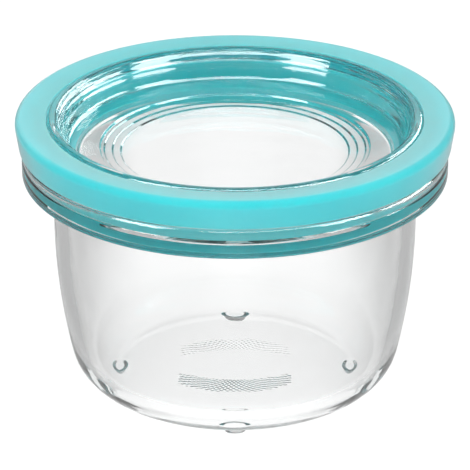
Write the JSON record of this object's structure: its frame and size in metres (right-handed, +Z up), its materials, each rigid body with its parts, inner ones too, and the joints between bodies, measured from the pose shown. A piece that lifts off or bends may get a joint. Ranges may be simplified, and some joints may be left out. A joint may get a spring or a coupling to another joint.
{
  "type": "glass food storage container",
  "caption": "Small round clear glass food pot with a thick collar, a dished clear glass lid and a turquoise soft sealing ring; keeps prepared food covered.",
  "frame": {"origin": "centre of the footprint, at the level of the surface that the feet stand on", "axes": "+Z up along the axis of the bowl, -Y towards the viewer"},
  "size_m": [0.1058, 0.1058, 0.0707],
  "materials": {
    "clear_glass": "polished clear",
    "lid_glass": "polished clear",
    "soft_ring": "frosted satin"
  },
  "bodies": {
    "root": {"bowl": "clear_glass", "sealing_ring": "soft_ring", "lid": "lid_glass"}
  },
  "joints": []
}
